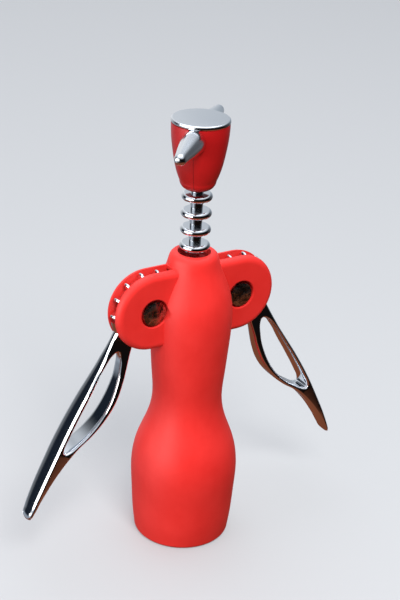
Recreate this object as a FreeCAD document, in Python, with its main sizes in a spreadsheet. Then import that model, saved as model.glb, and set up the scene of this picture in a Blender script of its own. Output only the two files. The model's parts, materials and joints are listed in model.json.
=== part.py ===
import FreeCAD, Part
import math
import os
import Sketcher

Vector = FreeCAD.Vector
os.makedirs("parts", exist_ok=True)
doc = FreeCAD.newDocument("WingedCorkscrew")

# ---------------------------------------------------------------- driving dimensions, mm and degrees
# Z is the worm's axis with 0 at the bell's rim, X runs from lever to lever, -Y is the front.
SIZES = {
    "body": {
        "foot_radius": 17.9, "foot_round": 1.6, "foot_side_height": 1.7,
        "bell_low_radius": 20.4, "bell_low_height": 9.0,
        "bell_side_radius": 21.1, "bell_side_height": 20.0,
        "bell_radius": 21.5, "bell_height": 31.5,
        "shoulder_radius": 19.7, "shoulder_height": 42.0,
        "shoulder_top_radius": 15.95, "shoulder_top_height": 52.0,
        "waist_radius": 14.0, "waist_height": 61.5,
        "column_low_radius": 14.5, "column_low_height": 72.0,
        "column_mid_radius": 15.3, "column_mid_height": 82.0,
        "column_radius": 16.0, "column_height": 92.0,
        "column_top_radius": 14.9, "column_top_height": 107.5,
        "collar_radius": 11.6, "collar_height": 116.2,
        "neck_radius_high": 10.0, "neck_height": 120.8,
        "lip_radius": 9.3, "lip_height": 123.2,
        "mouth_edge_radius": 7.7, "mouth_height": 124.7,
    },
    "inside": {
        "bell_bore_radius": 17.0, "bell_bore_depth": 34.0,
        "core_radius": 11.6, "core_low_height": 54.0, "core_top_height": 108.0,
        "seat_lip_radius": 6.8, "seat_lip_height": 114.5,
        "seat_radius": 7.2, "seat_height": 116.4, "seat_top_height": 122.5,
        "mouth_radius": 6.4,
    },
    "ears": {
        "pin_offset": 19.54, "pin_height": 104.3,
        "ear_radius": 15.7, "ear_thickness": 10.5, "ear_round": 2.6,
        "slot_width": 4.9, "slot_radius": 16.9, "slot_mouth": 10.6, "slot_outer_offset": 38.0,
        "recess_radius": 5.64, "recess_floor": 4.3, "recess_round": 0.6,
    },
    "pins": {
        "pin_radius": 2.5, "pin_head_radius": 4.8, "pin_head_rim": 0.95, "pin_head_dome": 0.6,
        "stub_radius": 1.5, "stub_length": 0.7,
    },
    "mesh": {
        "ring_pitch": 6.698, "tooth_count": 14, "ring_drop": 0.55, "tooth_rise": 0.1,
        "tip_radius": 15.9, "root_radius": 13.1, "tooth_root_width": 3.4, "tooth_tip_width": 1.3,
        "tooth_tip_round": 0.6,
        "first_tooth": -2, "last_tooth": 7,
    },
    "levers": {
        "left_rest_angle": 26.2, "right_rest_angle": 26.9, "hub_width": 3.6, "lever_bore": 2.55, "arm_width": 9.0,
        "lever_length": 94.0, "lever_tip_width": 6.4, "lever_edge_round": 0.6,
        "shoulder_start": 15.0, "shoulder_low_width": 5.5, "shoulder_low": 26.0,
        "shoulder_mid_width": 7.6, "shoulder_mid": 39.0, "shoulder_high_width": 8.5, "shoulder_high": 52.0,
        "shoulder_end": 66.0,
    },
    "spindle": {
        "ring_radius": 5.915, "ring_thickness": 2.7, "ring_edge": 1.1, "shaft_radius": 2.4,
        "lowest_ring": -3, "ring_count": 10,
        "socket_radius": 5.6, "socket_bottom": 78.0, "socket_top": 85.6,
        "tang_radius": 3.2, "tang_bottom": 151.5, "tang_top": 172.4,
    },
    "worm": {
        "coil_radius": 3.6, "wire_radius": 1.4, "coil_pitch": 9.0,
        "worm_tip": 26.5, "worm_top": 84.0, "point_turns": 0.45, "point_radius": 0.2,
    },
    "guide": {
        "neck_radius": 15.0, "guide_foot": 0.8, "neck_stop": 24.0, "shelf_top": 26.5,
        "worm_hole_radius": 5.8, "tube_radius": 8.0, "tube_top": 38.0,
        "guide_wall_inner": 15.9, "lead_in": 1.0, "rib_thickness": 1.4, "rib_count": 6,
    },
    "bush": {"bush_inner": 5.975, "bush_outer": 7.15, "bush_bottom": 116.5, "bush_top": 122.4},
    "cuts": {"through_cut": 80.0, "past_end": 1.0},
    "head": {
        "grip_bottom": 150.2, "grip_top": 176.2, "grip_wall": 1.8, "grip_floor": 154.2,
        "grip_foot_radius": 3.6, "grip_bend_radius": 5.9, "grip_bend_height": 151.3,
        "grip_low_radius": 7.0, "grip_low_height": 153.8,
        "grip_mid_radius": 9.1, "grip_mid_height": 160.4,
        "grip_side_radius": 10.0, "grip_side_height": 165.3,
        "grip_high_radius": 10.6, "grip_high_height": 169.5, "grip_top_radius": 10.95,
        "window_radius": 4.55, "window_channel": 2.0,
        "crossbar_heading": 44.6, "crossbar_height": 171.7, "crossbar_reach": 31.7,
        "arm_root_radius": 4.45, "arm_taper_start": 10.0, "arm_mid_radius": 3.85, "arm_mid": 17.0,
        "arm_low_radius": 3.05, "arm_low": 24.0, "arm_tip_radius": 2.25, "arm_tip_round": 1.0,
        "hub_radius": 6.2, "hub_bottom": 165.5, "hub_top": 175.6,
        "cross_pin_radius": 1.0, "cross_pin_height": 167.6,
        "cap_radius": 11.1, "cap_rim_top": 177.9, "cap_crown": 178.3, "cap_edge": 0.7,
        "spigot_bottom": 172.6,
    },
}

sheet = doc.addObject("Spreadsheet::Sheet", "Sizes")
row = 0
for group, sizes in SIZES.items():
    row += 1
    sheet.set(f"A{row}", group)
    for alias, amount in sizes.items():
        row += 1
        sheet.set(f"A{row}", alias)
        sheet.set(f"B{row}", str(amount))
        sheet.setAlias(f"B{row}", alias)
doc.recompute()


def size(alias):
    return float(sheet.get(alias))


def number(value):
    """A plain number, or the value of an alias with an optional minus sign."""
    if not isinstance(value, str):
        return value
    return -size(value[1:]) if value.startswith("-") else size(value)


def bind(target, prop, expression):
    """Bind a property to the sheet: each word in braces is an alias."""
    target.setExpression(prop, expression.replace("{", "Sizes.").replace("}", ""))


# ---------------------------------------------------------------- sketch and feature helpers
def origin_part(body, role):
    return next(feature for feature in body.Origin.OriginFeatures if feature.Role == role)


def new_body(name):
    body = doc.addObject("PartDesign::Body", name)
    body.Label = name
    return body


def new_sketch(body, name, plane):
    sketch = body.newObject("Sketcher::SketchObject", name)
    sketch.AttachmentSupport = [(origin_part(body, plane), "")]
    sketch.MapMode = "FlatFace"
    return sketch


def fix_point(sketch, geometry, end, point):
    """Hold one end of an edge at a point, bound to the sheet where a coordinate is an alias."""
    for kind, value, axis in (("DistanceX", point[0], -2), ("DistanceY", point[1], -1)):
        if value == 0:
            sketch.addConstraint(Sketcher.Constraint("PointOnObject", geometry, end, axis))
            continue
        index = sketch.addConstraint(Sketcher.Constraint(kind, -1, 1, geometry, end, number(value)))
        if isinstance(value, str):
            minus = "-" if value.startswith("-") else ""
            bind(sketch, f"Constraints[{index}]", minus + "{" + value.lstrip("-") + "}")


def outline(sketch, start, steps):
    """Draw a closed outline of steps: ("line", end), ("arc", middle, end) or ("curve", points, end)."""
    def at(point):
        return Vector(number(point[0]), number(point[1]), 0)

    here = start
    joints = []
    for step in steps:
        end = step[-1]
        if step[0] == "line":
            edge = Part.LineSegment(at(here), at(end))
        elif step[0] == "arc":
            edge = Part.Arc(at(here), at(step[1]), at(end))
        else:
            edge = Part.BSplineCurve()
            edge.interpolate([at(here)] + [at(point) for point in step[1]] + [at(end)])
        index = sketch.addGeometry(edge, False)
        forward = sketch.getPoint(index, 1).distanceToPoint(at(here)) < 1e-6
        joints.append((index, 1 if forward else 2, 2 if forward else 1, here))
        here = end
    for (index, first, last, point), following in zip(joints, joints[1:] + joints[:1]):
        sketch.addConstraint(Sketcher.Constraint("Coincident", index, last, following[0], following[1]))
        fix_point(sketch, index, first, point)


def circle(sketch, centre, radius):
    """A full circle whose radius is an alias and whose centre may be one."""
    index = sketch.addGeometry(
        Part.Circle(Vector(number(centre[0]), number(centre[1]), 0), Vector(0, 0, 1), size(radius)), False)
    limit = sketch.addConstraint(Sketcher.Constraint("Radius", index, size(radius)))
    bind(sketch, f"Constraints[{limit}]", "{" + radius + "}")
    fix_point(sketch, index, 3, centre)


def revolve(body, sketch, name, kind="Revolution", angle=360.0, axis="V_Axis"):
    feature = body.newObject("PartDesign::" + kind, name)
    feature.Profile = sketch
    feature.ReferenceAxis = (sketch, [axis])
    feature.Angle = angle
    return feature


def pad(body, sketch, name, length, kind="Pad"):
    """A pad or pocket centred on its sketch's plane, length a bound expression."""
    feature = body.newObject("PartDesign::" + kind, name)
    feature.Profile = sketch
    feature.Midplane = True
    bind(feature, "Length", length)
    return feature


def round_edges(body, base, name, radius, chosen):
    """Fillet the edges of the base feature that the test accepts."""
    doc.recompute()
    names = [f"Edge{i + 1}" for i, edge in enumerate(base.Shape.Edges) if chosen(edge)]
    feature = body.newObject("PartDesign::Fillet", name)
    feature.Base = (base, names)
    bind(feature, "Radius", radius)
    return feature


def along(edge, count=5):
    """Points spread evenly over an edge."""
    first, last = edge.ParameterRange
    return [edge.valueAt(first + (last - first) * i / (count - 1)) for i in range(count)]


def turned(angle):
    return FreeCAD.Rotation(Vector(0, 0, 1), angle)


def dome_drop(span, rise, radius):
    """How far a shallow dome lies below its crown at a radius."""
    sphere = (span ** 2 + rise ** 2) / (2 * rise)
    return sphere - math.sqrt(sphere ** 2 - radius ** 2)


# ---------------------------------------------------------------- body: bell, column and slotted ears
def build_body_shell():
    body = new_body("body_shell")
    profile = new_sketch(body, "body_profile", "XZ_Plane")
    foot_bend = size("foot_round") * (1 - math.sqrt(0.5))
    foot_corner = (size("foot_radius") + size("foot_round") - foot_bend, foot_bend)
    foot_top = (size("foot_radius") + size("foot_round"), size("foot_side_height"))
    outline(profile, (0, 0), [
        ("line", ("foot_radius", 0)),
        ("arc", foot_corner, foot_top),
        ("curve", [("bell_low_radius", "bell_low_height"),
                   ("bell_side_radius", "bell_side_height"),
                   ("bell_radius", "bell_height"),
                   ("shoulder_radius", "shoulder_height"),
                   ("shoulder_top_radius", "shoulder_top_height"),
                   ("waist_radius", "waist_height"),
                   ("column_low_radius", "column_low_height"),
                   ("column_mid_radius", "column_mid_height"),
                   ("column_radius", "column_height"),
                   ("column_top_radius", "column_top_height"),
                   ("collar_radius", "collar_height"),
                   ("neck_radius_high", "neck_height"),
                   ("lip_radius", "lip_height")],
         ("mouth_edge_radius", "mouth_height")),
        ("line", (0, "mouth_height")),
        ("line", (0, 0)),
    ])
    revolve(body, profile, "column")

    stadium = new_sketch(body, "ear_outline", "XZ_Plane")
    top = size("pin_height") + size("ear_radius")
    bottom = size("pin_height") - size("ear_radius")
    tip = size("pin_offset") + size("ear_radius")
    outline(stadium, ("-pin_offset", bottom), [
        ("line", ("pin_offset", bottom)),
        ("arc", (tip, "pin_height"), ("pin_offset", top)),
        ("line", ("-pin_offset", top)),
        ("arc", (-tip, "pin_height"), ("-pin_offset", bottom)),
    ])
    ears = pad(body, stadium, "ears", "{ear_thickness}")

    face = size("ear_thickness") / 2

    round_edges(body, ears, "ear_rims", "{ear_round}", lambda edge: all(
        abs(abs(point.y) - face) < 1e-4
        and abs(math.hypot(max(abs(point.x) - size("pin_offset"), 0), point.z - size("pin_height"))
                - size("ear_radius")) < 1e-4
        for point in along(edge)))

    cavity = new_sketch(body, "cavity_profile", "XZ_Plane")
    outline(cavity, (0, "-past_end"), [
        ("line", ("bell_bore_radius", "-past_end")),
        ("line", ("bell_bore_radius", "bell_bore_depth")),
        ("line", ("core_radius", "core_low_height")),
        ("line", ("core_radius", "core_top_height")),
        ("line", ("seat_lip_radius", "seat_lip_height")),
        ("line", ("seat_lip_radius", "seat_height")),
        ("line", ("seat_radius", "seat_height")),
        ("line", ("seat_radius", "seat_top_height")),
        ("line", ("mouth_radius", "seat_top_height")),
        ("line", ("mouth_radius", size("mouth_height") + size("past_end"))),
        ("line", (0, size("mouth_height") + size("past_end"))),
        ("line", (0, "-past_end")),
    ])
    revolve(body, cavity, "cavity", "Groove")

    # each slot follows the gear's rim up to a straight wall, and is open at the top and outside
    reach = size("slot_radius")
    slot_top = size("pin_height") + reach
    slot_bottom = size("pin_height") - reach
    wall_foot = size("pin_height") + math.sqrt(reach ** 2 - (size("pin_offset") - size("slot_mouth")) ** 2)
    for side, sign in (("left", "-"), ("right", "")):
        direction = -1 if sign else 1
        slot = new_sketch(body, side + "_slot_outline", "XZ_Plane")
        outline(slot, (sign + "slot_outer_offset", slot_bottom), [
            ("line", (sign + "slot_outer_offset", slot_top)),
            ("line", (sign + "slot_mouth", slot_top)),
            ("line", (sign + "slot_mouth", wall_foot)),
            ("arc", (direction * (size("pin_offset") - reach), "pin_height"),
             (sign + "pin_offset", slot_bottom)),
            ("line", (sign + "slot_outer_offset", slot_bottom)),
        ])
        pad(body, slot, side + "_slot", "{slot_width}", "Pocket")
        drill = new_sketch(body, side + "_pin_hole_outline", "XZ_Plane")
        circle(drill, (sign + "pin_offset", "pin_height"), "pin_radius")
        pad(body, drill, side + "_pin_hole", "{through_cut}", "Pocket")
        for place, outward in (("front", 1), ("rear", -1)):
            recess = new_sketch(body, f"{side}_{place}_recess_outline", "XZ_Plane")
            circle(recess, (sign + "pin_offset", "pin_height"), "recess_radius")
            bind(recess, "AttachmentOffset.Base.z", f"{outward} * {{recess_floor}}")
            cut = body.newObject("PartDesign::Pocket", f"{side}_{place}_recess")
            cut.Profile = recess
            cut.Reversed = outward > 0
            bind(cut, "Length", "{through_cut}")
    base = body.Tip
    round_edges(body, base, "recess_rims", "{recess_round}", lambda edge: (
        isinstance(edge.Curve, Part.Circle) and abs(edge.Curve.Radius - size("recess_radius")) < 1e-4
        and abs(abs(edge.Curve.Center.y) - face) < 1e-4))
    return body


# ---------------------------------------------------------------- plastic insert for the bottle's mouth
def build_bottle_guide():
    body = new_body("bottle_guide")
    profile = new_sketch(body, "guide_profile", "XZ_Plane")
    outline(profile, ("neck_radius", size("guide_foot") + size("lead_in")), [
        ("line", (size("neck_radius") + size("lead_in"), "guide_foot")),
        ("line", ("bell_bore_radius", "guide_foot")),
        ("line", ("bell_bore_radius", "bell_bore_depth")),
        ("line", ("guide_wall_inner", "bell_bore_depth")),
        ("line", ("guide_wall_inner", "shelf_top")),
        ("line", ("tube_radius", "shelf_top")),
        ("line", ("tube_radius", "tube_top")),
        ("line", ("worm_hole_radius", "tube_top")),
        ("line", ("worm_hole_radius", "neck_stop")),
        ("line", ("neck_radius", "neck_stop")),
        ("line", ("neck_radius", size("guide_foot") + size("lead_in"))),
    ])
    revolve(body, profile, "guide_wall")
    rib_outline = new_sketch(body, "rib_outline", "XZ_Plane")
    overlap = 0.5
    outline(rib_outline, (size("tube_radius") - overlap, size("shelf_top") - overlap), [
        ("line", (size("guide_wall_inner") + overlap, size("shelf_top") - overlap)),
        ("line", (size("guide_wall_inner") + overlap, "bell_bore_depth")),
        ("line", (size("tube_radius") - overlap, "bell_bore_depth")),
        ("line", (size("tube_radius") - overlap, size("shelf_top") - overlap)),
    ])
    rib = pad(body, rib_outline, "rib", "{rib_thickness}")
    ribs = body.newObject("PartDesign::PolarPattern", "ribs")
    ribs.Originals = [rib]
    ribs.Axis = (origin_part(body, "Z_Axis"), [""])
    ribs.Angle = 360
    bind(ribs, "Occurrences", "{rib_count}")
    body.Tip = ribs
    return body


# ---------------------------------------------------------------- bush in the column's mouth
def build_barrel_bush():
    body = new_body("barrel_bush")
    profile = new_sketch(body, "bush_profile", "XZ_Plane")
    outline(profile, ("bush_inner", "bush_bottom"), [
        ("line", ("bush_outer", "bush_bottom")),
        ("line", ("bush_outer", "bush_top")),
        ("line", ("bush_inner", "bush_top")),
        ("line", ("bush_inner", "bush_bottom")),
    ])
    revolve(body, profile, "bush_wall")
    return body


# ---------------------------------------------------------------- hinge pins and the caps on their rear ends
def build_hinge_pin(side, sign):
    body = new_body(side + "_hinge_pin")
    profile = new_sketch(body, side + "_pin_profile", "XZ_Plane")
    floor = size("recess_floor")
    rim = floor + size("pin_head_rim")
    crown = rim + size("pin_head_dome")
    half = size("pin_head_radius") / 2
    outline(profile, (0, crown), [
        ("arc", (half, crown - dome_drop(size("pin_head_radius"), size("pin_head_dome"), half)),
         ("pin_head_radius", rim)),
        ("line", ("pin_head_radius", floor)),
        ("line", ("pin_radius", floor)),
        ("line", ("pin_radius", -floor)),
        ("line", ("stub_radius", -floor)),
        ("line", ("stub_radius", -floor - size("stub_length"))),
        ("line", (0, -floor - size("stub_length"))),
        ("line", (0, crown)),
    ])
    revolve(body, profile, side + "_pin_solid")
    body.Placement.Rotation = FreeCAD.Rotation(Vector(1, 0, 0), 90)
    bind(body, "Placement.Base.x", sign + "{pin_offset}")
    bind(body, "Placement.Base.z", "{pin_height}")
    return body


def build_pin_cap(side, sign):
    body = new_body(side + "_pin_cap")
    profile = new_sketch(body, side + "_cap_profile", "XZ_Plane")
    floor = size("recess_floor")
    rim = floor + size("pin_head_rim")
    crown = rim + size("pin_head_dome")
    half = size("pin_head_radius") / 2
    outline(profile, (0, crown), [
        ("arc", (half, crown - dome_drop(size("pin_head_radius"), size("pin_head_dome"), half)),
         ("pin_head_radius", rim)),
        ("line", ("pin_head_radius", floor)),
        ("line", ("stub_radius", floor)),
        ("line", ("stub_radius", floor + size("stub_length"))),
        ("line", (0, floor + size("stub_length"))),
        ("line", (0, crown)),
    ])
    revolve(body, profile, side + "_cap_solid")
    body.Placement.Rotation = FreeCAD.Rotation(Vector(1, 0, 0), -90)
    bind(body, "Placement.Base.x", sign + "{pin_offset}")
    bind(body, "Placement.Base.z", "{pin_height}")
    return body


# ---------------------------------------------------------------- levers: gear, limbs and paddle cast in one
def polar(radius, angle, sideways=0.0):
    """A point at a radius and angle, shifted sideways anticlockwise."""
    turn = math.radians(angle)
    return (radius * math.cos(turn) - sideways * math.sin(turn),
            radius * math.sin(turn) + sideways * math.cos(turn))


def build_lever(side, sign):
    """Drawn hanging with its pivot at the origin and +X towards the column."""
    body = new_body(side + "_lever")
    tip = -size("lever_length")

    arm = new_sketch(body, side + "_arm_outline", "XZ_Plane")
    outline(arm, (-9.8, -10.0), [
        ("curve", [(-10.3, -26.0), (-11.1, -35.0), (-12.2, -46.0), (-12.9, -58.0), (-13.0, -70.0),
                   (-12.9, -81.0)], (-12.2, tip + 1.6)),
        ("arc", (-11.35, tip), (-10.5, tip + 1.5)),
        ("curve", [(-10.1, -83.0), (-8.1, -70.5), (-5.0, -61.0), (-1.3, -54.0), (1.5, -46.5),
                   (2.8, -39.0), (2.5, -31.0), (0.7, -21.0)], (-0.6, -10.0)),
        ("line", (-9.8, -10.0)),
    ])
    solid_arm = pad(body, arm, side + "_arm", "{arm_width}")

    def in_window(edge):
        return all(-11.6 < spot.x < 0.5 and -64.8 < spot.z < -19.0 for spot in along(edge))

    def soften(base, stage, wanted):
        """Round the edges of each flat side in turn, front and then rear."""
        for place, way in (("front", -1), ("rear", 1)):
            name = f"{side}_{place}_{stage}_edges"
            base = round_edges(body, base, name, "{lever_edge_round}", lambda edge: (
                all(abs(way * spot.y - size("arm_width") / 2) < 1e-4 for spot in along(edge))
                and min(spot.z for spot in along(edge)) < -11.0 and in_window(edge) == wanted))

    soften(solid_arm, "arm", False)

    window = new_sketch(body, side + "_window_outline", "XZ_Plane")
    outline(window, (-6.6, -20.5), [
        ("curve", [(-8.5, -27.0), (-9.3, -36.0), (-10.2, -46.0), (-10.8, -57.0)], (-10.7, -62.0)),
        ("arc", (-10.2, -63.1), (-9.1, -62.8)),
        ("curve", [(-5.3, -57.6), (-2.1, -51.0), (-0.1, -43.0), (-0.1, -34.0), (-1.9, -25.5)],
         (-4.4, -20.4)),
        ("arc", (-5.5, -19.7), (-6.6, -20.5)),
    ])
    opened = pad(body, window, side + "_window", "{through_cut}", "Pocket")
    soften(opened, "window", True)

    # seen from outside, the casting widens from the hub to the limbs and closes to the paddle's end
    flank = new_sketch(body, side + "_flank_outline", "YZ_Plane")
    hub = size("hub_width") / 2
    half = size("arm_width") / 2
    end = size("lever_tip_width") / 2
    above = 20.0
    wide = half + 0.2
    shoulder = [(size("shoulder_low_width") / 2, "-shoulder_low"),
                (size("shoulder_mid_width") / 2, "-shoulder_mid"),
                (size("shoulder_high_width") / 2, "-shoulder_high")]
    outline(flank, (hub, above), [
        ("line", (hub, "-shoulder_start")),
        ("curve", shoulder, (wide, "-shoulder_end")),
        ("curve", [(half - 0.3, tip + 14.0), (end, tip + 4.0), (end * 0.7, tip + 1.1), (0, tip + 0.05),
                   (-end * 0.7, tip + 1.1), (-end, tip + 4.0), (0.3 - half, tip + 14.0)],
         (-wide, "-shoulder_end")),
        ("curve", [(-across, height) for across, height in reversed(shoulder)], (-hub, "-shoulder_start")),
        ("line", (-hub, above)),
        ("line", (hub, above)),
    ])
    clear = half + 2
    outline(flank, (clear, above + 2), [
        ("line", (clear, tip - 2)),
        ("line", (-clear, tip - 2)),
        ("line", (-clear, above + 2)),
        ("line", (clear, above + 2)),
    ])
    pad(body, flank, side + "_flanks", "{through_cut}", "Pocket")

    disc = new_sketch(body, side + "_hub_outline", "XZ_Plane")
    circle(disc, (0, 0), "root_radius")
    pad(body, disc, side + "_hub", "{hub_width}")

    # behind the last tooth the sector keeps its full radius and runs into the outer limb
    step = 360 / size("tooth_count")
    lift = math.degrees(size("tooth_rise") / (size("ring_pitch") * size("tooth_count") / (2 * math.pi)))
    last_angle = size(side + "_rest_angle") + size("last_tooth") * step + lift
    heel = new_sketch(body, side + "_heel_outline", "XZ_Plane")
    rim = size("tip_radius")
    outline(heel, polar(rim - 5, last_angle + 8), [
        ("line", polar(rim, last_angle + 8.5)),
        ("arc", polar(rim, last_angle + 16), polar(rim, last_angle + 23.5)),
        ("line", (-6.0, -16.0)),
        ("line", polar(rim - 5, last_angle + 8)),
    ])
    pad(body, heel, side + "_heel", "{hub_width}")

    tooth_outline = new_sketch(body, side + "_tooth_outline", "XZ_Plane")
    root = size("root_radius") - 0.6
    foot = size("tooth_root_width") / 2
    nose = size("tooth_tip_width") / 2
    round_start = rim - size("tooth_tip_round")
    outline(tooth_outline, polar(root, last_angle, -foot), [
        ("line", polar(root, last_angle, foot)),
        ("line", polar(round_start, last_angle, nose)),
        ("arc", polar(rim, last_angle), polar(round_start, last_angle, -nose)),
        ("line", polar(root, last_angle, -foot)),
    ])
    tooth = pad(body, tooth_outline, side + "_tooth", "{hub_width}")
    teeth = body.newObject("PartDesign::PolarPattern", side + "_teeth")
    teeth.Originals = [tooth]
    teeth.Axis = (origin_part(body, "Y_Axis"), [""])
    bind(teeth, "Angle", "({last_tooth} - {first_tooth}) * 360 / {tooth_count}")
    bind(teeth, "Occurrences", "{last_tooth} - {first_tooth} + 1")
    body.Tip = teeth

    bore = new_sketch(body, side + "_bore_outline", "XZ_Plane")
    circle(bore, (0, 0), "lever_bore")
    pad(body, bore, side + "_bore", "{through_cut}", "Pocket")

    lean = FreeCAD.Rotation(Vector(0, 1, 0), size(side + "_rest_angle"))
    body.Placement.Rotation = lean if sign else turned(180) * lean
    bind(body, "Placement.Base.x", sign + "{pin_offset}")
    bind(body, "Placement.Base.z", "{pin_height}")
    return body


# ---------------------------------------------------------------- spindle: a shaft with rings for rack teeth
def build_spindle():
    body = new_body("spindle")
    shaft = new_sketch(body, "shaft_profile", "XZ_Plane")
    outline(shaft, (0, "socket_bottom"), [
        ("line", ("socket_radius", "socket_bottom")),
        ("line", ("socket_radius", "socket_top")),
        ("line", ("shaft_radius", "socket_top")),
        ("line", ("shaft_radius", "tang_bottom")),
        ("line", ("tang_radius", "tang_bottom")),
        ("line", ("tang_radius", "tang_top")),
        ("line", (0, "tang_top")),
        ("line", (0, "socket_bottom")),
    ])
    revolve(body, shaft, "shaft")

    ring_profile = new_sketch(body, "ring_profile", "XZ_Plane")
    middle = size("pin_height") - size("ring_drop") + (size("lowest_ring") + 0.5) * size("ring_pitch")
    half = size("ring_thickness") / 2
    rim = size("ring_radius")
    flat = rim - size("ring_edge")
    outline(ring_profile, (1.0, middle - half), [
        ("line", (flat, middle - half)),
        ("arc", (rim, middle), (flat, middle + half)),
        ("line", (1.0, middle + half)),
        ("line", (1.0, middle - half)),
    ])
    ring = revolve(body, ring_profile, "ring")
    rings = body.newObject("PartDesign::LinearPattern", "rings")
    rings.Originals = [ring]
    rings.Direction = (origin_part(body, "Z_Axis"), [""])
    bind(rings, "Length", "({ring_count} - 1) * {ring_pitch}")
    bind(rings, "Occurrences", "{ring_count}")
    body.Tip = rings

    hole = new_sketch(body, "spindle_pin_hole_outline", "XZ_Plane")
    circle(hole, (0, "cross_pin_height"), "cross_pin_radius")
    pad(body, hole, "spindle_pin_hole", "{through_cut}", "Pocket")
    body.Placement.Rotation = turned(size("crossbar_heading"))
    return body


# ---------------------------------------------------------------- worm: open coil with a ground point
def build_worm():
    radius = size("coil_radius")
    pitch = size("coil_pitch")
    point_rise = size("point_turns") * pitch
    rise = size("worm_top") - size("worm_tip") - point_rise

    def wire_section(path, at_end, section_radius):
        edge = path.Edges[-1 if at_end else 0]
        place = edge.ParameterRange[1 if at_end else 0]
        section = Part.Circle(edge.valueAt(place), edge.tangentAt(place), section_radius)
        return Part.Wire(section.toShape())

    coil_path = Part.makeHelix(pitch, rise, radius)
    coil = coil_path.makePipeShell([wire_section(coil_path, False, size("wire_radius"))], True, True)

    point_path = Part.makeHelix(pitch, point_rise, radius)
    taper = Part.BRepOffsetAPI.MakePipeShell(point_path)
    taper.setFrenetMode(True)
    taper.add(wire_section(point_path, False, size("point_radius")))
    taper.add(wire_section(point_path, True, size("wire_radius")))
    taper.build()
    taper.makeSolid()
    point = taper.shape()
    coil.rotate(Vector(0, 0, 0), Vector(0, 0, 1), 360 * size("point_turns"))
    coil.translate(Vector(0, 0, point_rise))
    worm = doc.addObject("Part::Feature", "worm")
    worm.Shape = point.fuse(coil)
    bind(worm, "Placement.Base.z", "{worm_tip}")
    return worm


# ---------------------------------------------------------------- head: crossbar, pin, grip shells and cap
def build_crossbar():
    body = new_body("crossbar")
    arm_profile = new_sketch(body, "arm_profile", "XZ_Plane")
    middle = "crossbar_height"
    reach = size("crossbar_reach")
    high = size("crossbar_height")
    nose = size("arm_tip_round")
    outline(arm_profile, (0, middle), [
        ("line", (0, high + size("arm_root_radius"))),
        ("line", ("arm_taper_start", high + size("arm_root_radius"))),
        ("curve", [("arm_mid", high + size("arm_mid_radius")), ("arm_low", high + size("arm_low_radius"))],
         (reach - nose, high + size("arm_tip_radius"))),
        ("arc", (reach - 0.27 * nose, high + size("arm_tip_radius") - 0.3 * nose),
         (reach, high + size("arm_tip_radius") - nose)),
        ("line", (reach, middle)),
        ("line", (0, middle)),
    ])
    bar_line = "Edge6"
    arm = revolve(body, arm_profile, "arm", axis=bar_line)
    doc.recompute()
    arms = body.newObject("PartDesign::Mirrored", "arms")
    arms.Originals = [arm]
    arms.MirrorPlane = (origin_part(body, "YZ_Plane"), [""])
    body.Tip = arms

    hub_profile = new_sketch(body, "hub_profile", "XZ_Plane")
    outline(hub_profile, (0, "hub_bottom"), [
        ("line", ("hub_radius", "hub_bottom")),
        ("line", ("hub_radius", "hub_top")),
        ("line", (0, "hub_top")),
        ("line", (0, "hub_bottom")),
    ])
    revolve(body, hub_profile, "hub")
    bore_profile = new_sketch(body, "hub_bore_profile", "XZ_Plane")
    below = size("hub_bottom") - size("past_end")
    above = size("hub_top") + size("past_end")
    outline(bore_profile, (0, below), [
        ("line", ("tang_radius", below)),
        ("line", ("tang_radius", above)),
        ("line", (0, above)),
        ("line", (0, below)),
    ])
    revolve(body, bore_profile, "hub_bore", "Groove")
    hole = new_sketch(body, "hub_pin_hole_outline", "XZ_Plane")
    circle(hole, (0, "cross_pin_height"), "cross_pin_radius")
    pad(body, hole, "hub_pin_hole", "{through_cut}", "Pocket")
    body.Placement.Rotation = turned(size("crossbar_heading"))
    return body


def build_crossbar_pin():
    pin = doc.addObject("Part::Cylinder", "crossbar_pin")
    bind(pin, "Radius", "{cross_pin_radius}")
    bind(pin, "Height", "2 * {hub_radius} - 0.6")
    heading = size("crossbar_heading")
    pin.Placement.Rotation = turned(heading) * FreeCAD.Rotation(Vector(1, 0, 0), 90)
    half = size("hub_radius") - 0.3
    pin.Placement.Base = turned(heading).multVec(Vector(0, half, 0)) + Vector(0, 0, size("cross_pin_height"))
    return pin


def build_grip_shell(side, heading):
    body = new_body(side + "_grip_shell")
    profile = new_sketch(body, side + "_grip_profile", "XZ_Plane")
    wall = size("grip_wall")
    outline(profile, ("shaft_radius", "grip_bottom"), [
        ("line", ("grip_foot_radius", "grip_bottom")),
        ("arc", ("grip_bend_radius", "grip_bend_height"), ("grip_low_radius", "grip_low_height")),
        ("curve", [("grip_mid_radius", "grip_mid_height"), ("grip_side_radius", "grip_side_height"),
                   ("grip_high_radius", "grip_high_height")], ("grip_top_radius", "grip_top")),
        ("line", (size("grip_top_radius") - wall, "grip_top")),
        ("curve", [(size("grip_high_radius") - wall, "grip_high_height"),
                   (size("grip_mid_radius") - wall, "grip_mid_height")],
         (size("grip_low_radius") - wall, "grip_floor")),
        ("line", ("tang_radius", "grip_floor")),
        ("line", ("tang_radius", "tang_bottom")),
        ("line", ("shaft_radius", "tang_bottom")),
        ("line", ("shaft_radius", "grip_bottom")),
    ])
    half = revolve(body, profile, side + "_grip_half", angle=180.0)
    doc.recompute()

    # a keyhole for each arm, half in either shell
    window = new_sketch(body, side + "_arm_window", "YZ_Plane")
    reach = size("window_radius")
    neck = size("crossbar_height") + math.sqrt(reach ** 2 - size("window_channel") ** 2)
    above = size("grip_top") + size("past_end")
    outline(window, ("window_channel", neck), [
        ("line", ("window_channel", above)),
        ("line", ("-window_channel", above)),
        ("line", ("-window_channel", neck)),
        ("arc", (0, size("crossbar_height") - reach), ("window_channel", neck)),
    ])
    pad(body, window, side + "_arm_gap", "{through_cut}", "Pocket")
    body.Placement.Rotation = turned(heading)
    return body


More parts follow.
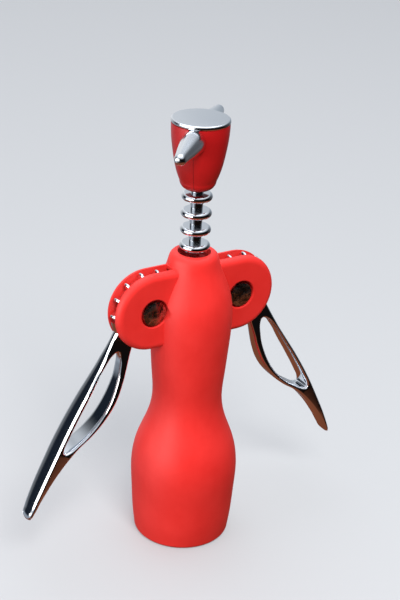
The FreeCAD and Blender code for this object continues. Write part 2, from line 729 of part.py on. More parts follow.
def build_top_cap():
    body = new_body("top_cap")
    profile = new_sketch(body, "cap_profile", "XZ_Plane")
    edge = size("cap_edge")
    rim = size("cap_radius")
    rise = size("cap_crown") - size("cap_rim_top")
    half = rim / 2
    outline(profile, (0, "spigot_bottom"), [
        ("line", ("tang_radius", "spigot_bottom")),
        ("line", ("tang_radius", "grip_top")),
        ("line", (rim - edge, "grip_top")),
        ("arc", (rim - 0.29 * edge, size("grip_top") + 0.29 * edge), (rim, size("grip_top") + edge)),
        ("line", (rim, size("cap_rim_top") - edge)),
        ("arc", (rim - 0.29 * edge, size("cap_rim_top") - 0.29 * edge), (rim - edge, "cap_rim_top")),
        ("arc", (half, size("cap_crown") - dome_drop(rim - edge, rise, half)), (0, "cap_crown")),
        ("line", (0, "spigot_bottom")),
    ])
    revolve(body, profile, "cap")
    return body


parts = [build_body_shell(), build_bottle_guide(), build_barrel_bush(), build_spindle(), build_worm(),
         build_crossbar(), build_crossbar_pin(), build_top_cap()]
for side, sign in (("left", "-"), ("right", "")):
    parts += [build_lever(side, sign), build_hinge_pin(side, sign), build_pin_cap(side, sign)]
for side, heading in (("front", size("crossbar_heading")), ("rear", size("crossbar_heading") + 180)):
    parts.append(build_grip_shell(side, heading))
doc.recompute()

for item in doc.Objects:
    if "Invalid" in item.State or "Error" in item.State:
        raise RuntimeError(f"{item.Label} failed: {item.State}")
for part in parts:
    if part.Shape.isNull() or not part.Shape.isValid() or len(part.Shape.Solids) != 1:
        raise RuntimeError(f"{part.Label} has no single valid solid")
    part.Shape.exportStep(f"parts/{part.Label}.step")
    box = part.Shape.BoundBox
    span = f"{box.XLength:.1f} x {box.YLength:.1f} x {box.ZLength:.1f}"
    print(f"{part.Label}: {part.Shape.Volume:.0f} mm3, {span}")
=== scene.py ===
import json
import math
import bpy
from mathutils import Matrix, Vector


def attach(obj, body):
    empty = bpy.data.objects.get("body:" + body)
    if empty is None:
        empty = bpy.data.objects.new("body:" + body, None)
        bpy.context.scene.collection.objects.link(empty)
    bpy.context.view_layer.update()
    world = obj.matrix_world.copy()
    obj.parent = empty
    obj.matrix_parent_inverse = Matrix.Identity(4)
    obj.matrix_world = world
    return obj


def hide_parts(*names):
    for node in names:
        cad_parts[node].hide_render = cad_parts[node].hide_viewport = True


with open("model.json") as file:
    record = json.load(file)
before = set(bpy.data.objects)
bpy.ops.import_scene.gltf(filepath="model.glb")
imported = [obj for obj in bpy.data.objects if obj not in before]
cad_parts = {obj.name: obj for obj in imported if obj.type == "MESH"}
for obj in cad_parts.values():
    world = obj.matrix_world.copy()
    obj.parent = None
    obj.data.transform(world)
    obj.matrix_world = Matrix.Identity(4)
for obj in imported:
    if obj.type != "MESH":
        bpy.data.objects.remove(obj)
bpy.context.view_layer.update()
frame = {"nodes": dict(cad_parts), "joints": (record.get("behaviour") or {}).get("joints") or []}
nodes = frame["nodes"]
wingPivots = {joint["child"]: Vector(joint["pos_m"]) for joint in frame["joints"]
              if joint["child"].endswith("_wing")}
print("frame loaded:", len(nodes), "nodes")

# the camera stands in front and to the left, looking down at the tool on its table
camera = {
    "distance": 0.4813,   # metres, level, from the worm's axis
    "height": 0.3374,     # metres
    "azimuth": 32.64,     # degrees left of the front
    "heading": 33.02,     # degrees right of straight back, the way it looks
    "pitch": 25.87,       # degrees down
    "roll": 3.115,        # degrees, uprights lean right
    "lens": 82.7,         # mm
    "sensor": 36.0,       # mm
    "nearest": 0.01,      # metres, nothing closer is drawn
}


def placeCamera():
    data = bpy.data.cameras.new("mainView")
    view = bpy.data.objects.new("mainView", data)
    bpy.context.scene.collection.objects.link(view)
    side = math.radians(camera["azimuth"])
    heading = math.radians(camera["heading"])
    pitch = math.radians(camera["pitch"])
    roll = math.radians(camera["roll"])
    forward = Vector((
        math.sin(heading) * math.cos(pitch), math.cos(heading) * math.cos(pitch), -math.sin(pitch)))
    level = Vector((math.cos(heading), -math.sin(heading), 0.0))
    upright = level.cross(forward)
    right = level * math.cos(roll) + upright * math.sin(roll)
    up = upright * math.cos(roll) - level * math.sin(roll)
    turn = Matrix((right, up, -forward)).transposed().to_4x4()
    place = Vector((
        -camera["distance"] * math.sin(side), -camera["distance"] * math.cos(side), camera["height"]))
    view.matrix_world = Matrix.Translation(place) @ turn
    data.lens = camera["lens"]
    data.sensor_width = camera["sensor"]
    data.clip_start = camera["nearest"]
    bpy.context.scene.camera = view


placeCamera()
print("camera placed")


# sRGB hex to the linear colour that shaders take
def colour(text):
    channels = [int(text[i:i + 2], 16) / 255 for i in (0, 2, 4)]
    linear = [c / 12.92 if c <= 0.04045 else ((c + 0.055) / 1.055) ** 2.4 for c in channels]
    return (*linear, 1.0)


# adds a node, sets its properties, inputs and a ramp's stops, and links inputs given as sockets
def addNode(tree, kind, settings=None, inputs=None, stops=None):
    node = tree.nodes.new(kind)
    for name, value in (settings or {}).items():
        setattr(node, name, value)
    for name, value in (inputs or {}).items():
        if isinstance(value, bpy.types.NodeSocket):
            tree.links.new(value, node.inputs[name])
        else:
            node.inputs[name].default_value = value
    if stops:
        ramp = node.color_ramp.elements
        ramp[0].position, ramp[1].position = stops[0][0], stops[-1][0]
        for position, tint in stops[1:-1]:
            ramp.new(position)
        for step, (position, tint) in zip(ramp, stops):
            step.color = colour(tint)
    return node


def startMaterial(name):
    material = bpy.data.materials.new(name)
    material.use_nodes = True
    material.node_tree.nodes.clear()
    place = addNode(material.node_tree, "ShaderNodeTexCoord").outputs["Object"]
    return material, material.node_tree, place


# the shader closes a material, with what is uniform set on its own sockets
def finishMaterial(material, inputs):
    tree = material.node_tree
    shader = addNode(tree, "ShaderNodeBsdfPrincipled", inputs=inputs)
    addNode(tree, "ShaderNodeOutputMaterial", inputs={"Surface": shader.outputs["BSDF"]})
    return material


# a noise texture's scale for grains of a given size
def grainScale(sizeMm):
    return 1000.0 / sizeMm


softTouch = {
    "red": "E1322E", "deep": "D92A26", "mottleMm": 14.0, "roughness": (0.44, 0.54),
    "grainMm": 0.3, "grainDepthMm": 0.02,   # coarser than the real dusty grain, so that it shows
    "ior": 1.48, "sheen": 0.1, "sheenRoughness": 0.5, "sheenTint": "FF6A60",
}


# zinc casting sprayed with a rubbery soft-touch coat: a matt coral red, faintly uneven and dusty
def softTouchCoat():
    material, tree, place = startMaterial("softTouchCoat")
    mottle = addNode(tree, "ShaderNodeTexNoise", inputs={
        "Vector": place, "Scale": grainScale(softTouch["mottleMm"]), "Detail": 3.0, "Roughness": 0.6})
    tint = addNode(tree, "ShaderNodeValToRGB", inputs={"Fac": mottle.outputs["Fac"]}, stops=[
        (0.3, softTouch["deep"]), (0.7, softTouch["red"])])
    shine = addNode(tree, "ShaderNodeMapRange", inputs={
        "Value": mottle.outputs["Fac"],
        "To Min": softTouch["roughness"][0], "To Max": softTouch["roughness"][1]})
    grain = addNode(tree, "ShaderNodeTexNoise", inputs={
        "Vector": place, "Scale": grainScale(softTouch["grainMm"]), "Detail": 2.0})
    relief = addNode(tree, "ShaderNodeBump", inputs={
        "Height": grain.outputs["Fac"], "Strength": 0.5, "Distance": softTouch["grainDepthMm"] / 1000})
    return finishMaterial(material, {
        "Base Color": tint.outputs["Color"], "Roughness": shine.outputs["Result"],
        "Normal": relief.outputs["Normal"], "IOR": softTouch["ior"],
        "Sheen Weight": softTouch["sheen"], "Sheen Roughness": softTouch["sheenRoughness"],
        "Sheen Tint": colour(softTouch["sheenTint"])})


chrome = {"tint": "E9ECF0", "wearMm": 1.1, "wearRoughness": 0.1, "waveMm": 11.0}


# zinc casting, buffed and chromium plated: mirror bright, faintly rippled, with a few dulled spots
def chromePlate(name, rippleMm, roughness):
    material, tree, place = startMaterial(name)
    wear = addNode(tree, "ShaderNodeTexNoise", inputs={
        "Vector": place, "Scale": grainScale(chrome["wearMm"]), "Detail": 6.0, "Roughness": 0.7})
    polish = addNode(tree, "ShaderNodeMapRange", inputs={
        "Value": wear.outputs["Fac"], "From Min": 0.4, "From Max": 0.8,
        "To Min": roughness, "To Max": roughness + chrome["wearRoughness"]})
    wave = addNode(tree, "ShaderNodeTexNoise", inputs={
        "Vector": place, "Scale": grainScale(chrome["waveMm"]), "Detail": 1.0})
    ripple = addNode(tree, "ShaderNodeBump", inputs={
        "Height": wave.outputs["Fac"], "Strength": 1.0, "Distance": rippleMm / 1000})
    return finishMaterial(material, {
        "Base Color": colour(chrome["tint"]), "Metallic": 1.0,
        "Roughness": polish.outputs["Result"], "Normal": ripple.outputs["Normal"]})


nickel = {
    "dull": "8E897C", "bright": "DAD8CE", "cloudMm": 2.6, "reliefMm": 0.6, "roughness": (0.14, 0.4),
}


# turned steel with a nickel flash: greyer and duller than the chrome, cloudy and a little uneven
def turnedNickel():
    material, tree, place = startMaterial("turnedNickel")
    cloud = addNode(tree, "ShaderNodeTexNoise", inputs={
        "Vector": place, "Scale": grainScale(nickel["cloudMm"]), "Detail": 4.0, "Roughness": 0.6})
    tint = addNode(tree, "ShaderNodeValToRGB", inputs={"Fac": cloud.outputs["Fac"]}, stops=[
        (0.4, nickel["dull"]), (0.62, nickel["bright"])])
    shine = addNode(tree, "ShaderNodeMapRange", inputs={
        "Value": cloud.outputs["Fac"],
        "To Min": nickel["roughness"][0], "To Max": nickel["roughness"][1]})
    relief = addNode(tree, "ShaderNodeBump", inputs={
        "Height": cloud.outputs["Fac"], "Strength": 1.0, "Distance": nickel["reliefMm"] / 1000})
    return finishMaterial(material, {
        "Base Color": tint.outputs["Color"], "Metallic": 1.0,
        "Roughness": shine.outputs["Result"], "Normal": relief.outputs["Normal"]})


gripRed = {
    "dark": "A81618", "light": "B4191B", "cloudMm": 8.0, "roughness": 0.36, "ior": 1.54,
    "grainMm": 0.5, "grainDepthMm": 0.012,   # coarser than the real mould grain, so that it shows
    "seam": "7E0F12", "seamDarkMm": 0.066, "seamFadeMm": 0.22,   # distances either side of the joint
    "seamTurn": 44.6,                        # degrees that bring the joint's plane onto X = 0
}


# moulded ABS dyed through: a deeper red than the coat, satin, with a fine line where its shells meet
def mouldedAbs():
    material, tree, place = startMaterial("mouldedAbs")
    cloud = addNode(tree, "ShaderNodeTexNoise", inputs={
        "Vector": place, "Scale": grainScale(gripRed["cloudMm"]), "Detail": 3.0})
    tint = addNode(tree, "ShaderNodeValToRGB", inputs={"Fac": cloud.outputs["Fac"]}, stops=[
        (0.3, gripRed["dark"]), (0.7, gripRed["light"])])
    turned = addNode(tree, "ShaderNodeMapping", inputs={
        "Vector": place, "Rotation": (0.0, 0.0, math.radians(gripRed["seamTurn"]))})
    across = addNode(tree, "ShaderNodeSeparateXYZ", inputs={"Vector": turned.outputs["Vector"]})
    away = addNode(tree, "ShaderNodeMath", {"operation": "ABSOLUTE"}, {0: across.outputs["X"]})
    clear = addNode(tree, "ShaderNodeMapRange", inputs={
        "Value": away.outputs["Value"],
        "From Min": gripRed["seamDarkMm"] / 1000, "From Max": gripRed["seamFadeMm"] / 1000})
    line = addNode(tree, "ShaderNodeMixRGB", inputs={
        "Fac": clear.outputs["Result"],
        "Color1": colour(gripRed["seam"]), "Color2": tint.outputs["Color"]})
    grain = addNode(tree, "ShaderNodeTexNoise", inputs={
        "Vector": place, "Scale": grainScale(gripRed["grainMm"]), "Detail": 2.0})
    relief = addNode(tree, "ShaderNodeBump", inputs={
        "Height": grain.outputs["Fac"], "Strength": 0.5, "Distance": gripRed["grainDepthMm"] / 1000})
    return finishMaterial(material, {
        "Base Color": line.outputs["Color"], "Roughness": gripRed["roughness"],
        "Normal": relief.outputs["Normal"], "IOR": gripRed["ior"]})


polypropylene = {"cloudMm": 0.6, "reliefMm": 0.02, "roughness": 0.42, "ior": 1.49}


# moulded polypropylene: satin, a little waxy, with a soft mottle from the mould
def mouldedPolypropylene(name, dark, light):
    material, tree, place = startMaterial(name)
    cloud = addNode(tree, "ShaderNodeTexNoise", inputs={
        "Vector": place, "Scale": grainScale(polypropylene["cloudMm"]), "Detail": 3.0})
    tint = addNode(tree, "ShaderNodeValToRGB", inputs={"Fac": cloud.outputs["Fac"]}, stops=[
        (0.3, dark), (0.7, light)])
    relief = addNode(tree, "ShaderNodeBump", inputs={
        "Height": cloud.outputs["Fac"], "Strength": 0.4, "Distance": polypropylene["reliefMm"] / 1000})
    return finishMaterial(material, {
        "Base Color": tint.outputs["Color"], "Roughness": polypropylene["roughness"],
        "Normal": relief.outputs["Normal"], "IOR": polypropylene["ior"]})


drawnSteel = {"tint": "C9C8C4", "markMm": 0.3, "roughness": (0.14, 0.34)}


# hardened steel wire, drawn and nickel plated: bright, a little grey, unevenly polished
def platedWire():
    material, tree, place = startMaterial("platedWire")
    marks = addNode(tree, "ShaderNodeTexNoise", inputs={
        "Vector": place, "Scale": grainScale(drawnSteel["markMm"]), "Detail": 4.0})
    shine = addNode(tree, "ShaderNodeMapRange", inputs={
        "Value": marks.outputs["Fac"],
        "To Min": drawnSteel["roughness"][0], "To Max": drawnSteel["roughness"][1]})
    return finishMaterial(material, {
        "Base Color": colour(drawnSteel["tint"]), "Metallic": 1.0,
        "Roughness": shine.outputs["Result"]})


chromeLever = chromePlate("chromeLever", rippleMm=0.02, roughness=0.05)
chromeHead = chromePlate("chromeHead", rippleMm=0.012, roughness=0.13)
chromeSpindle = chromePlate("chromeSpindle", rippleMm=0.008, roughness=0.05)
pinNickel = turnedNickel()
wire = platedWire()
coat = softTouchCoat()
moulding = mouldedAbs()
guideBlack = mouldedPolypropylene("mouldedBlack", dark="141414", light="1E1E1F")
bushRed = mouldedPolypropylene("mouldedRed", dark="B81E1A", light="C8241F")
for name, material in {"bottle_guide": guideBlack, "crossbar_pin": wire}.items():
    for slot in nodes[name].material_slots:
        slot.material = material
print("finishes ready")


def deselectAll():
    if bpy.context.mode != "OBJECT":
        bpy.ops.object.mode_set(mode="OBJECT")
    bpy.ops.object.select_all(action="DESELECT")


def takeUp(piece):
    deselectAll()
    piece.select_set(True)
    bpy.context.view_layer.objects.active = piece


# shading that is smooth over curves and crisp at edges sharper than the angle
def shadeSmooth(piece, angle):
    takeUp(piece)
    bpy.ops.object.shade_smooth_by_angle(angle=math.radians(angle))
    weigh = piece.modifiers.new("evenFaces", "WEIGHTED_NORMAL")
    weigh.keep_sharp = True
    bpy.ops.object.modifier_apply(modifier=weigh.name)


def dress(piece, body, material):
    piece.data.materials.clear()
    piece.data.materials.append(material)
    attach(piece, body)


# in edit mode: points that lie together become one, and faces turn outwards
def weld():
    bpy.ops.mesh.select_all(action="SELECT")
    bpy.ops.mesh.remove_doubles(threshold=0.000002)   # metres
    bpy.ops.mesh.normals_make_consistent(inside=False)


# a node's mesh joined up, so that its polish shows one skin and no facets
def joinedCopy(node, name):
    piece = bpy.data.objects.new(name, nodes[node].data.copy())
    bpy.context.scene.collection.objects.link(piece)
    takeUp(piece)
    if piece.data.has_custom_normals:
        bpy.ops.mesh.customdata_custom_splitnormals_clear()
    bpy.ops.object.mode_set(mode="EDIT")
    weld()
    bpy.ops.object.mode_set(mode="OBJECT")
    return piece


polished = {   # node: piece, body, slot, finish, sharpest curve left smooth in degrees
    "body_shell": ("coatedShell", "body", "soft_touch_coat", coat, 30),
    "barrel_bush": ("mouthBush", "bush", "bush_plastic", bushRed, 30),
    "spindle": ("ringedSpindle", "screw", "chrome_spindle", chromeSpindle, 40),
    "worm": ("wireWorm", "screw", "worm_steel", wire, 40),
    "top_cap": ("domedCap", "screw", "chrome_head", chromeHead, 35),
    "front_grip_shell": ("frontGrip", "screw", "grip_plastic", moulding, 35),
    "rear_grip_shell": ("rearGrip", "screw", "grip_plastic", moulding, 35),
    "left_hinge_pin": ("leftPin", "body", "hinge_pin_metal", pinNickel, 35),
    "right_hinge_pin": ("rightPin", "body", "hinge_pin_metal", pinNickel, 35),
    "left_pin_cap": ("leftPinCap", "body", "hinge_pin_metal", pinNickel, 35),
    "right_pin_cap": ("rightPinCap", "body", "hinge_pin_metal", pinNickel, 35),
}
recess = {   # mm
    "reach": 5.8,                     # from the pin's axis
    "floor": 4.3, "deepFloor": 3.1,   # from the tool's middle plane
    "tolerance": 0.02,
}


# the recesses round the hinge pins go deeper, so that a dark groove shows round each pin
def deepenRecesses(piece):
    for point in piece.data.vertices:
        offFloor = abs(abs(point.co.y * 1000) - recess["floor"])
        for pivot in wingPivots.values():
            reach = math.hypot(point.co.x - pivot.x, point.co.z - pivot.z) * 1000
            if reach < recess["reach"] and offFloor < recess["tolerance"]:
                point.co.y = math.copysign(recess["deepFloor"] / 1000, point.co.y)


for node, (name, body, slot, material, angle) in polished.items():
    piece = joinedCopy(node, name)
    if node == "body_shell":
        deepenRecesses(piece)
    shadeSmooth(piece, angle)
    dress(piece, body, material)
    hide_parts(node)
print("smooth pieces:", len(polished))


crossbar = {   # mm and degrees
    "height": 171.7, "heading": 44.6,         # above the floor, and round from X
    "hubReach": 7.0, "start": 6.8,            # from the axis: where the hub ends and the arms begin
    "startRadius": 4.5, "sides": 32, "smoothing": 2,
    "hubSmoothAngle": 35, "armSmoothAngle": 60,
    "profile": [                              # distance out and radius
        (9.2, 4.5), (10.4, 4.75), (12.0, 4.64), (16.0, 4.14), (20.0, 3.58), (24.0, 3.0), (27.5, 2.5),
        (29.3, 2.28), (30.3, 2.1), (31.0, 1.75), (31.45, 1.2), (31.65, 0.5)],
}


# the level way that a heading points
def outwards(heading):
    return Vector((math.cos(math.radians(heading)), math.sin(math.radians(heading)), 0))


# one arm: a ring drawn out from the hub, widened and narrowed step by step, and closed at both ends
def buildCrossArm(name, heading):
    deselectAll()
    out = outwards(heading)
    middle = Vector((0, 0, crossbar["height"] / 1000))
    bpy.ops.mesh.primitive_circle_add(
        vertices=crossbar["sides"], radius=crossbar["startRadius"] / 1000, fill_type="NOTHING",
        location=middle + out * crossbar["start"] / 1000,
        rotation=(0, math.radians(90), math.radians(heading)))
    piece = bpy.context.object
    piece.name = name
    bpy.ops.object.mode_set(mode="EDIT")
    bpy.ops.mesh.select_all(action="SELECT")
    reach, radius = crossbar["start"], crossbar["startRadius"]
    for far, wide in crossbar["profile"]:
        bpy.ops.mesh.extrude_region_move(TRANSFORM_OT_translate={"value": out * (far - reach) / 1000})
        bpy.ops.transform.resize(value=(wide / radius,) * 3, center_override=middle + out * far / 1000)
        reach, radius = far, wide
    bpy.ops.mesh.edge_face_add()
    # what is still open is the ring at the hub
    bpy.ops.mesh.select_all(action="DESELECT")
    bpy.ops.mesh.select_non_manifold()
    bpy.ops.mesh.edge_face_add()
    bpy.ops.mesh.select_all(action="SELECT")
    bpy.ops.mesh.normals_make_consistent(inside=False)
    bpy.ops.object.mode_set(mode="OBJECT")
    bpy.ops.object.transform_apply(location=True, rotation=True, scale=True)
    soften = piece.modifiers.new("roundOff", "SUBSURF")
    soften.levels = soften.render_levels = crossbar["smoothing"]
    bpy.ops.object.modifier_apply(modifier=soften.name)
    return piece


# the crossbar's hub, hidden in the grip: a joined copy with both arms cut off
def buildCrossHub():
    piece = joinedCopy("crossbar", "crossbarHub")
    out = outwards(crossbar["heading"])
    bpy.ops.object.mode_set(mode="EDIT")
    for way in (out, -out):
        bpy.ops.mesh.select_all(action="SELECT")
        bpy.ops.mesh.bisect(
            plane_co=way * crossbar["hubReach"] / 1000, plane_no=way, use_fill=True, clear_outer=True)
    bpy.ops.object.mode_set(mode="OBJECT")
    return piece


hub = buildCrossHub()
shadeSmooth(hub, crossbar["hubSmoothAngle"])
dress(hub, "screw", chromeHead)
for name, heading in {"farArm": crossbar["heading"], "nearArm": crossbar["heading"] + 180}.items():
    arm = buildCrossArm(name, heading)
    shadeSmooth(arm, crossbar["armSmoothAngle"])
    dress(arm, "screw", chromeHead)
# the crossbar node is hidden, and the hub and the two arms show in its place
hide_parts("crossbar")
print("crossbar built")


lever = {   # mm and degrees, drawn hanging straight down from its pivot, with its outer side at -X
    "restAngle": {"left": 26.2, "right": 26.9},
    "halfWidth": 4.5, "edgeRound": 0.95,      # as drawn, before the flanks are shaped
    "curveSteps": 10, "edgeSteps": 5,
    "edgeDeep": 1.7, "edgeShare": 0.8,        # the round after that, and its largest share of a width
    "outerSide": -9.6, "facing": -0.5,        # X and normal's X, below which a flank is the outer one
    "flankCrown": 0.2, "flankRows": (-0.8, -0.55, -0.25, 0.0, 0.25, 0.55, 0.8),
    "hubCut": 15.2, "flatAngle": 0.5,         # below the pivot; faces this near to flat are joined
    "toothHalf": 1.8, "toothFoot": 13.6, "toothRise": 1.5,   # half width; then out from the pivot
    "toothCrown": 0.75, "crownPower": 2.5, "toothRows": (-0.8, -0.55, -0.25, 0.25, 0.55, 0.8),
    "hubSmoothAngle": 35, "armSmoothAngle": 50,
    "flank": [                                # half width at distances below the pivot
        (12.0, 1.7), (15.0, 1.75), (26.0, 2.75), (39.0, 3.8), (52.0, 4.25), (64.0, 4.5), (80.0, 4.3),
        (89.0, 3.9), (92.0, 3.5), (93.3, 2.9), (94.0, 1.9)],
    "easedTo": 26.0,                          # above this the width changes smoothly
    "armTop": -12.0,                          # the arm's straight upper end, inside the hub
    "outline": [
        (-9.8, -12.0), (-10.3, -26.0), (-11.1, -35.0), (-12.2, -46.0), (-12.9, -58.0), (-13.0, -70.0),
        (-12.9, -81.0), (-12.4, -90.0), (-12.1, -92.8), (-11.35, -94.0), (-10.6, -92.9),
        (-10.4, -90.0), (-10.1, -83.0), (-8.1, -70.5), (-5.0, -61.0), (-1.3, -54.0), (1.5, -46.5),
        (2.8, -39.0), (2.5, -31.0), (0.7, -21.0), (-0.6, -12.0)],
    "window": [
        (-6.6, -20.5), (-8.5, -27.0), (-9.3, -36.0), (-10.2, -46.0), (-10.8, -57.0), (-10.7, -62.0),
        (-10.2, -63.1), (-9.1, -62.8), (-5.3, -57.6), (-2.1, -51.0), (-0.1, -43.0), (-0.1, -34.0),
        (-1.9, -25.5), (-4.4, -20.4), (-5.5, -19.7)],
}


# half the casting's width at a distance below the pivot
def flankWidth(depth):
    steps = lever["flank"]
    for (near, wide), (far, narrow) in zip(steps, steps[1:]):
        if depth <= far:
            part = max(0.0, (depth - near) / (far - near))
            part = part * part * (3 - 2 * part) if near < lever["easedTo"] else part
            return wide + (narrow - wide) * part
    return steps[-1][1]


# the lever's arm, drawn flat as an outline with a window and thickened with rounded edges
def drawArm(name):
    deselectAll()
    bpy.ops.curve.primitive_bezier_curve_add(location=(0, 0, 0))
    bpy.context.object.name = name
    shape = bpy.context.object.data
    shape.dimensions = "2D"
    shape.fill_mode = "BOTH"
    shape.resolution_u = lever["curveSteps"]
    shape.splines.clear()
    for points in (lever["outline"], lever["window"]):
        spline = shape.splines.new("BEZIER")
        spline.bezier_points.add(len(points) - 1)
        spline.use_cyclic_u = True
        for knot, (x, z) in zip(spline.bezier_points, points):
            knot.co = (x / 1000, z / 1000, 0)
            knot.handle_left_type = knot.handle_right_type = "VECTOR" if z == lever["armTop"] else "AUTO"
    shape.extrude = (lever["halfWidth"] - lever["edgeRound"]) / 1000
    shape.bevel_depth = lever["edgeRound"] / 1000
    shape.bevel_resolution = lever["edgeSteps"]
    shape.offset = -lever["edgeRound"] / 1000
    bpy.ops.object.convert(target="MESH")
    return bpy.context.object


# rows of points across the flanks, the outer flank buffed slightly round, and the width along the arm
def shapeFlanks(piece):
    flat = (lever["halfWidth"] - lever["edgeRound"]) / 1000
    bpy.ops.object.mode_set(mode="EDIT")
    weld()
    for share in lever["flankRows"]:
        bpy.ops.mesh.select_all(action="SELECT")
        bpy.ops.mesh.bisect(plane_co=(0, 0, share * flat), plane_no=(0, 0, 1))
    bpy.ops.object.mode_set(mode="OBJECT")
    for point in piece.data.vertices:
        if point.normal.x < lever["facing"] and point.co.x < lever["outerSide"] / 1000:
            crown = lever["flankCrown"] * (flankWidth(-point.co.y * 1000) / lever["halfWidth"]) ** 2
            point.co.x -= crown / 1000 * max(0.0, 1 - (point.co.z / flat) ** 2)
    for point in piece.data.vertices:
        wide = flankWidth(-point.co.y * 1000) / 1000
        edge = min(lever["edgeDeep"] / 1000, wide * lever["edgeShare"])
        deep = abs(point.co.z)
        over = max(0.0, deep - flat) / (lever["edgeRound"] / 1000)
        point.co.z = math.copysign((wide - edge) * min(deep, flat) / flat + edge * over, point.co.z)


# the arm is stood up, swung to rest, turned to its side and set on its pivot
def buildArm(side):
    piece = drawArm(side + "Arm")
    shapeFlanks(piece)
    stand = Matrix.Rotation(math.radians(90), 4, "X")
    lean = Matrix.Rotation(math.radians(lever["restAngle"][side]), 4, "Y")
    turn = Matrix.Rotation(math.radians(180), 4, "Z") if side == "right" else Matrix.Identity(4)
    pivot = Matrix.Translation(wingPivots[side + "_wing"])
    piece.data.transform(pivot @ turn @ lean @ stand)
    return piece


# the toothed hub: a joined copy of the lever cut off just below the ears' edge
def buildHub(side):
    piece = joinedCopy(side + "_lever", side + "Hub")
    sign = -1 if side == "left" else 1
    swing = math.radians(lever["restAngle"][side])
    down = Vector((sign * math.sin(swing), 0, -math.cos(swing)))
    pivot = wingPivots[side + "_wing"]
    bpy.ops.object.mode_set(mode="EDIT")
    bpy.ops.mesh.select_all(action="SELECT")
    bpy.ops.mesh.bisect(
        plane_co=pivot + down * lever["hubCut"] / 1000, plane_no=down, use_fill=True, clear_outer=True)
    bpy.ops.mesh.select_all(action="SELECT")
    bpy.ops.mesh.dissolve_limited(angle_limit=math.radians(lever["flatAngle"]))
    for share in lever["toothRows"]:
        bpy.ops.mesh.select_all(action="SELECT")
        bpy.ops.mesh.bisect(plane_co=(0, share * lever["toothHalf"] / 1000, 0), plane_no=(0, 1, 0))
    bpy.ops.object.mode_set(mode="OBJECT")
    # each tooth's tip is crowned from front to back
    for point in piece.data.vertices:
        out = Vector((point.co.x - pivot.x, 0, point.co.z - pivot.z))
        high = out.length * 1000 - lever["toothFoot"]
        if high > 0:
            fall = lever["toothCrown"] * min(1.0, high / lever["toothRise"])
            fall *= abs(point.co.y * 1000 / lever["toothHalf"]) ** lever["crownPower"]
            point.co -= out.normalized() * fall / 1000
    return piece


for side in ("left", "right"):
    hub = buildHub(side)
    shadeSmooth(hub, lever["hubSmoothAngle"])
    dress(hub, side + "_wing", chromeLever)
    arm = buildArm(side)
    shadeSmooth(arm, lever["armSmoothAngle"])
    dress(arm, side + "_wing", chromeLever)
    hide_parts(side + "_lever")
print("levers built")


stage = {
    "floorSize": 6.0,   # metres
    "floor": "959698", "floorRoughness": 0.7, "glow": "F4F6FA", "glowStrength": 0.28,
    "backdrop": "B5B7BB",
    # bands of colour as shares of a turn, from due left round by the front
    "horizon": [
        (0.0, "E2E8EE"), (0.04, "B8C0CA"), (0.08, "8C949E"), (0.10, "40444A"), (0.14, "0B0B0D"),
        (0.42, "101012"), (0.52, "55595E"), (0.62, "A8B1BB"), (0.66, "C6CCD3"), (0.70, "F0F3F6"),
        (0.80, "AEB2B6"), (0.85, "1A212B"), (0.90, "1A212B"), (0.93, "98A2AE"), (0.97, "E2E8EE")],
    "table": [
        (0.0, "C8D0DA"), (0.03, "8A9098"), (0.05, "5A5A5E"), (0.10, "140D0A"), (0.45, "140D0A"),
        (0.55, "4A3A34"), (0.66, "7F8790"), (0.80, "969EA8"), (0.94, "98A0AC"), (0.98, "C8D0DA")],
    "nearTable": "7C4630", "overhead": "E8EEF6",
    # where one gives way to the next, as the sine of the angle above level
    "nearTableEdge": (-0.64, -0.49), "tableEdge": (-0.42, -0.2), "overheadEdge": (0.4, 0.75),
}


# a plain pale floor for the camera, which neither mirrors in the tool nor shades it
def buildStage():
    deselectAll()
    bpy.ops.mesh.primitive_plane_add(size=stage["floorSize"], location=(0, 0, 0))
    floor = bpy.context.object
    floor.name = "paleFloor"
    material = startMaterial("paleFloor")[0]
    finishMaterial(material, {
        "Base Color": colour(stage["floor"]), "Roughness": stage["floorRoughness"],
        "Emission Color": colour(stage["glow"]), "Emission Strength": stage["glowStrength"]})
    floor.data.materials.append(material)
    floor.visible_glossy = False
    floor.visible_diffuse = False
    floor.visible_shadow = False


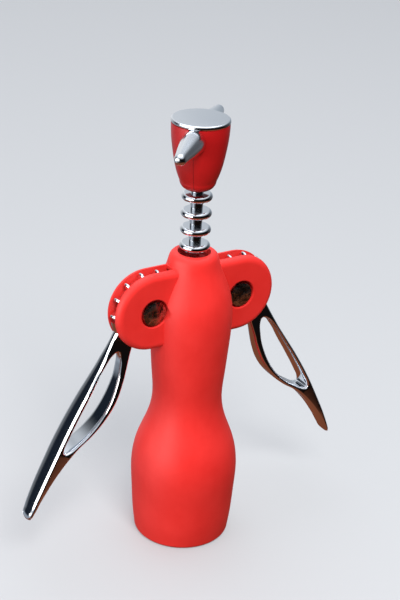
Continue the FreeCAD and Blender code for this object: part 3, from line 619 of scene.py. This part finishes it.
# what the tool mirrors: a dark wooden table in a daylit room, drawn by direction
def buildRoom():
    world = bpy.data.worlds.new("daylitRoom")
    bpy.context.scene.world = world
    world.use_nodes = True
    tree = world.node_tree
    place = addNode(tree, "ShaderNodeTexCoord")
    way = addNode(tree, "ShaderNodeSeparateXYZ", inputs={"Vector": place.outputs["Generated"]})
    angle = addNode(tree, "ShaderNodeMath", {"operation": "ARCTAN2"}, {
        0: way.outputs["Y"], 1: way.outputs["X"]})
    turn = addNode(tree, "ShaderNodeMapRange", inputs={
        "Value": angle.outputs["Value"], "From Min": -math.pi, "From Max": math.pi})
    wall = addNode(tree, "ShaderNodeValToRGB", inputs={
        "Fac": turn.outputs["Result"]}, stops=stage["horizon"])
    table = addNode(tree, "ShaderNodeValToRGB", inputs={
        "Fac": turn.outputs["Result"]}, stops=stage["table"])
    deep, low, high = (
        addNode(tree, "ShaderNodeMapRange", inputs={
            "Value": way.outputs["Z"], "From Min": stage[edge][0], "From Max": stage[edge][1]})
        for edge in ("nearTableEdge", "tableEdge", "overheadEdge"))
    below = addNode(tree, "ShaderNodeMixRGB", inputs={
        "Fac": deep.outputs["Result"],
        "Color1": colour(stage["nearTable"]), "Color2": table.outputs["Color"]})
    sides = addNode(tree, "ShaderNodeMixRGB", inputs={
        "Fac": low.outputs["Result"],
        "Color1": below.outputs["Color"], "Color2": wall.outputs["Color"]})
    whole = addNode(tree, "ShaderNodeMixRGB", inputs={
        "Fac": high.outputs["Result"],
        "Color1": sides.outputs["Color"], "Color2": colour(stage["overhead"])})
    # behind the floor's edge the view is plain and pale, like the floor
    ray = addNode(tree, "ShaderNodeLightPath")
    shown = addNode(tree, "ShaderNodeMixRGB", inputs={
        "Fac": ray.outputs["Is Camera Ray"],
        "Color1": whole.outputs["Color"], "Color2": colour(stage["backdrop"])})
    tree.links.new(shown.outputs["Color"], tree.nodes["Background"].inputs["Color"])
    tree.nodes["Background"].inputs["Strength"].default_value = 1.0


lamps = {   # name: place and size in metres, watts, tint, whether the tool mirrors it
    "window": ((-1.0, -0.06, 0.215), (1.2, 0.53), 7.0, "FFFCF6", True),
    "skylight": ((0.1, 0.2, 1.3), (1.3, 1.3), 8.0, "F6F9FF", True),
    "softbox": ((-0.2, -0.69, 0.92), (0.5, 0.34), 13.4, "FFFEFA", False),
}
aimHeight = 0.09   # metres up the tool, where every lamp points


def addLight(name, place, size, power, tint, mirrored):
    data = bpy.data.lights.new(name, "AREA")
    data.shape = "RECTANGLE"
    data.size, data.size_y = size
    data.energy = power
    data.color = colour(tint)[:3]
    lamp = bpy.data.objects.new(name, data)
    bpy.context.scene.collection.objects.link(lamp)
    lamp.location = place
    lamp.visible_glossy = mirrored
    aim = Vector((0, 0, aimHeight)) - Vector(place)
    lamp.rotation_euler = aim.to_track_quat("-Z", "Y").to_euler()


# a lamp that stands close to the floor would burn it out, so it lights only the tool
def keepOffFloor(lamp):
    unlit = bpy.data.collections.new("unlitFloor")
    unlit.objects.link(bpy.data.objects["paleFloor"])
    lamp.light_linking.receiver_collection = unlit
    unlit.collection_objects[0].light_linking.link_state = "EXCLUDE"


buildStage()
buildRoom()
for name, (place, size, power, tint, mirrored) in lamps.items():
    addLight(name, place, size, power, tint, mirrored)
keepOffFloor(bpy.data.objects["window"])
bpy.context.scene.view_settings.view_transform = "Standard"
print("stage built")
